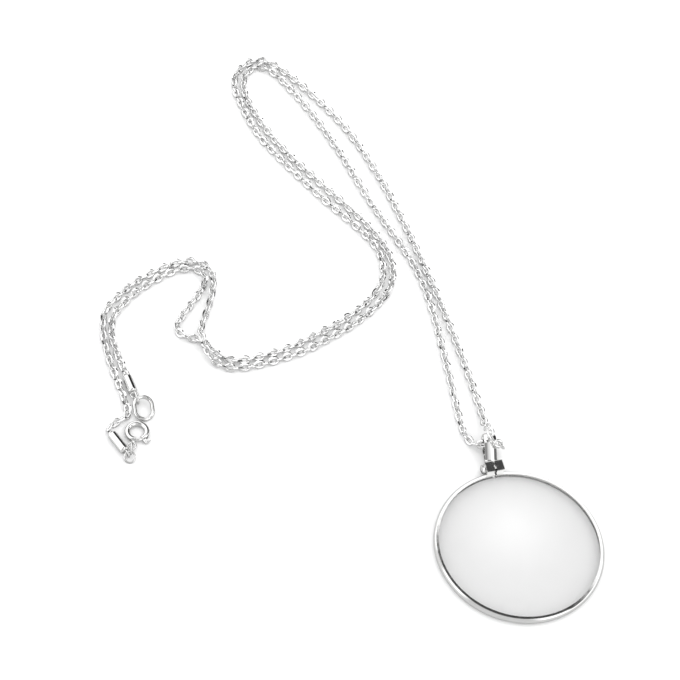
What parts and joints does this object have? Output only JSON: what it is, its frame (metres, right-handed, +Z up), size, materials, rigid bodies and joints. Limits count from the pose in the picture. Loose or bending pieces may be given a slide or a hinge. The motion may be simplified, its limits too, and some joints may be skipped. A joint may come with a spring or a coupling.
{
  "type": "magnifier pendant necklace",
  "caption": "Round magnifying glass in a slim metal ring with a bail, worn on a looped fine cable chain with a spring ring clasp.",
  "frame": {"origin": "middle of the laid-out necklace's bounding box, on the surface that it lies on", "axes": "+Z up from the surface, +Y away from the viewer towards the far end of the chain's loop, +X to the right, the side of the magnifier"},
  "size_m": [0.1337, 0.1669, 0.0073],
  "materials": {
    "glass": "clear polished optical glass",
    "polished_metal": "bright silver-coloured polish",
    "chain_metal": "bright silver-coloured polish with cut facets"
  },
  "bodies": {
    "necklace": {"lens": "glass", "frame": "polished_metal", "clamp_screw": "polished_metal", "chain_1": "chain_metal", "chain_2": "chain_metal", "end_cap_1": "polished_metal", "end_cap_2": "polished_metal", "link_ring_1": "polished_metal", "end_ring": "polished_metal", "link_ring_2": "polished_metal", "link_ring_3": "polished_metal", "clasp_ring": "polished_metal"},
    "lever": {"clasp_lever": "polished_metal"}
  },
  "joints": [
    {"name": "clasp_opening", "type": "hinge", "parent": "necklace", "child": "lever", "pos_m": [-0.0509, -0.0481, 0.0007], "axis": [0, 0, 1], "range_deg": [0, 45], "stiffness_Nm_per_rad": 0.00005, "springref_deg": -17.19}
  ]
}
